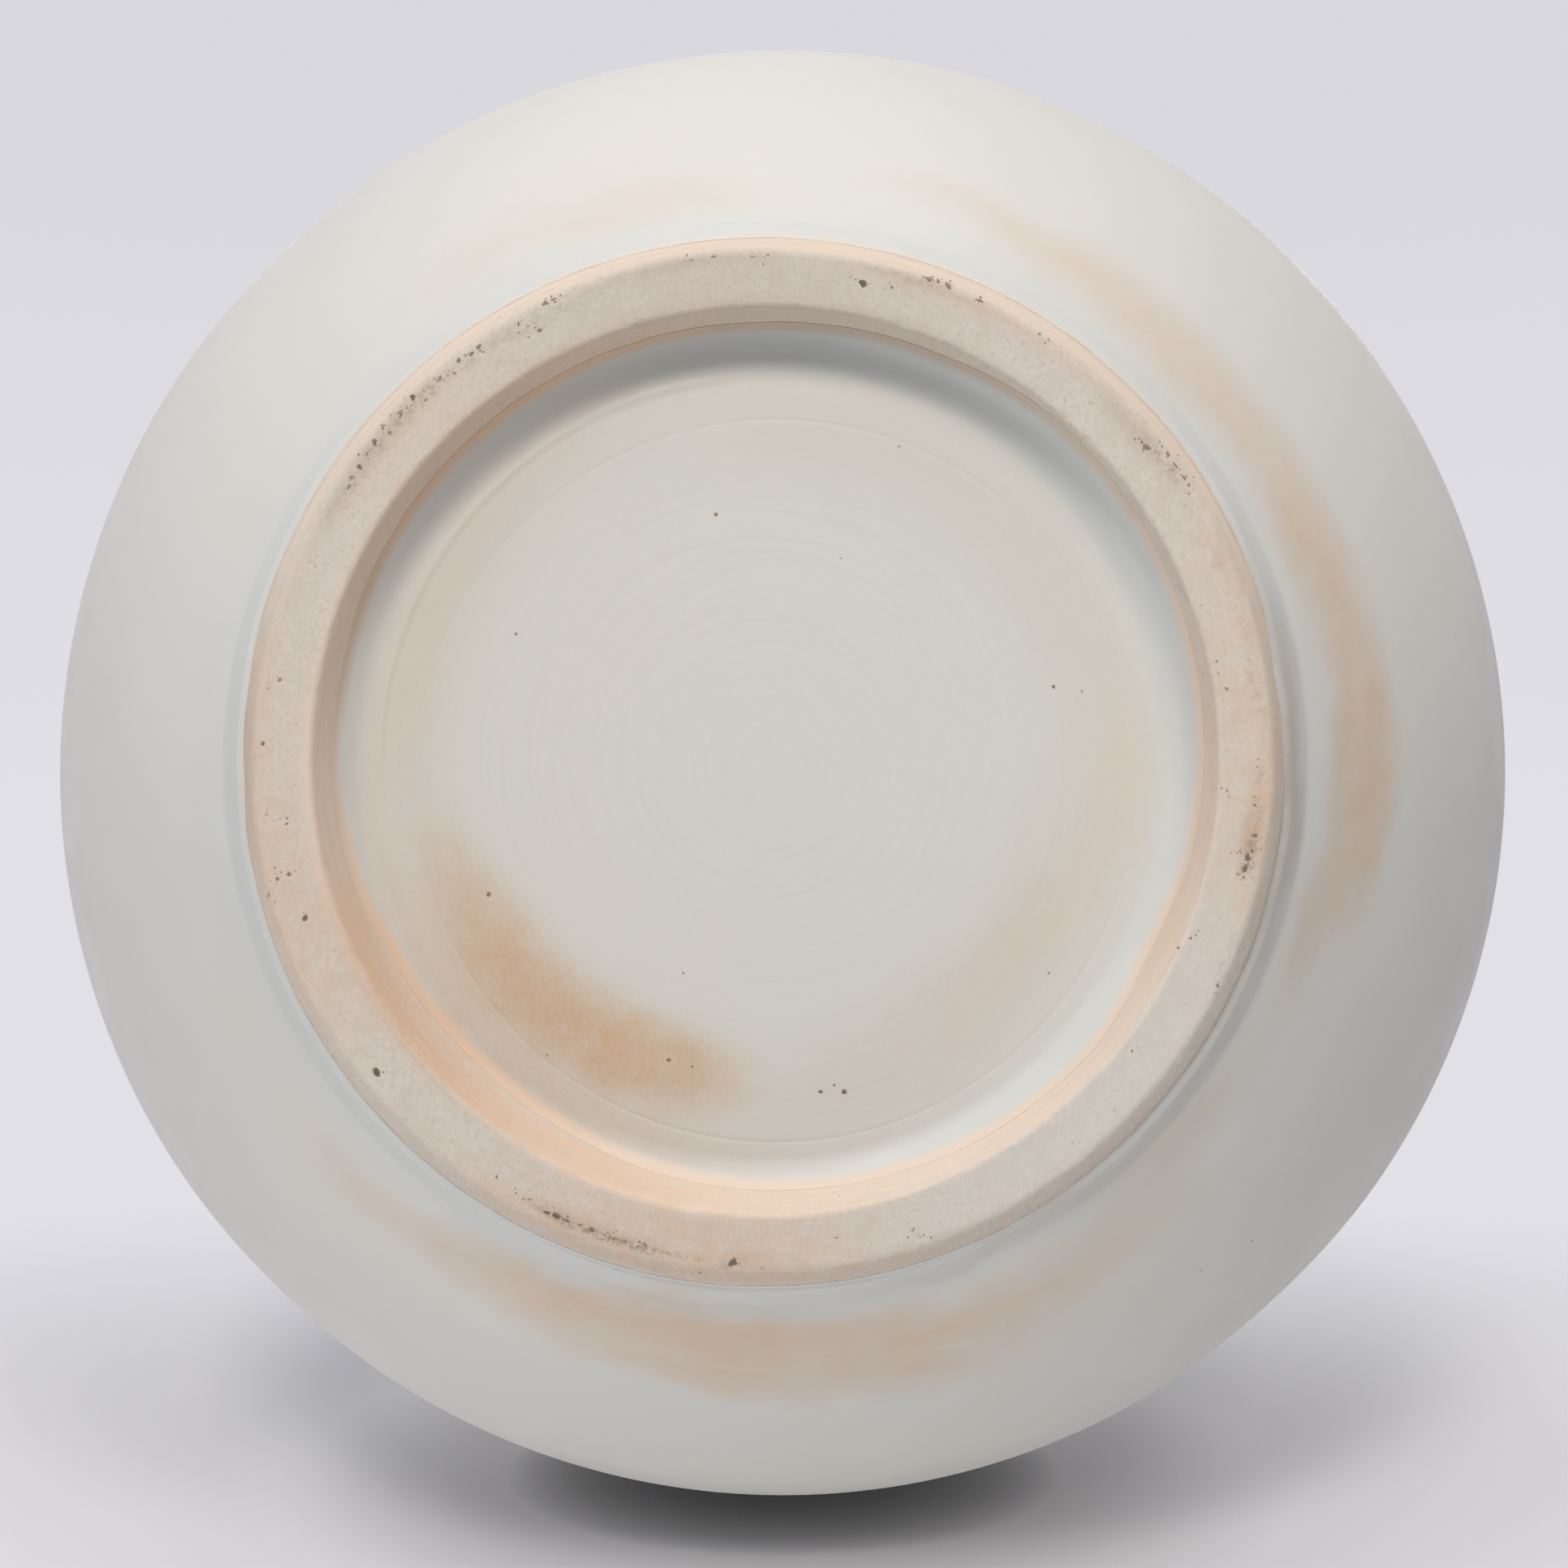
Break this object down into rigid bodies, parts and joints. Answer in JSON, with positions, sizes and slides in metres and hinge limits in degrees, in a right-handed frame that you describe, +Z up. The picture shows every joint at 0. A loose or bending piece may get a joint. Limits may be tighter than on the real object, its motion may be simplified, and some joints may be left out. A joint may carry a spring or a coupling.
{
  "type": "moon jar",
  "caption": "Nearly round white glazed jar on a bare ring foot, thrown as two bowls luted at the belly, with a short everted collar.",
  "frame": {"origin": "centre of the foot's bearing face, where the jar stands", "axes": "+Z up the jar's axis from the foot to the mouth; the jar is round, and +Y is the side that is lowest in the picture, where it lies on its side"},
  "size_m": [0.3119, 0.312, 0.293],
  "materials": {
    "body_clay": "fired white clay, unglazed under the coats",
    "seam_slip": "fired slip, unglazed under the coats",
    "foot_clay": "bare sandy clay flashed warm at its edges",
    "outer_glaze": "semi-matt milky white glaze with faint peach blushes",
    "inner_glaze": "semi-matt milky white glaze",
    "well_glaze": "thin satin glaze with an orange blush and turning lines"
  },
  "bodies": {
    "root": {"lower_bowl": "body_clay", "upper_bowl": "body_clay", "belly_seam": "seam_slip", "mouth_collar": "body_clay", "foot_ring": "foot_clay", "outer_glaze": "outer_glaze", "inner_glaze": "inner_glaze", "foot_well_glaze": "well_glaze"}
  },
  "joints": []
}
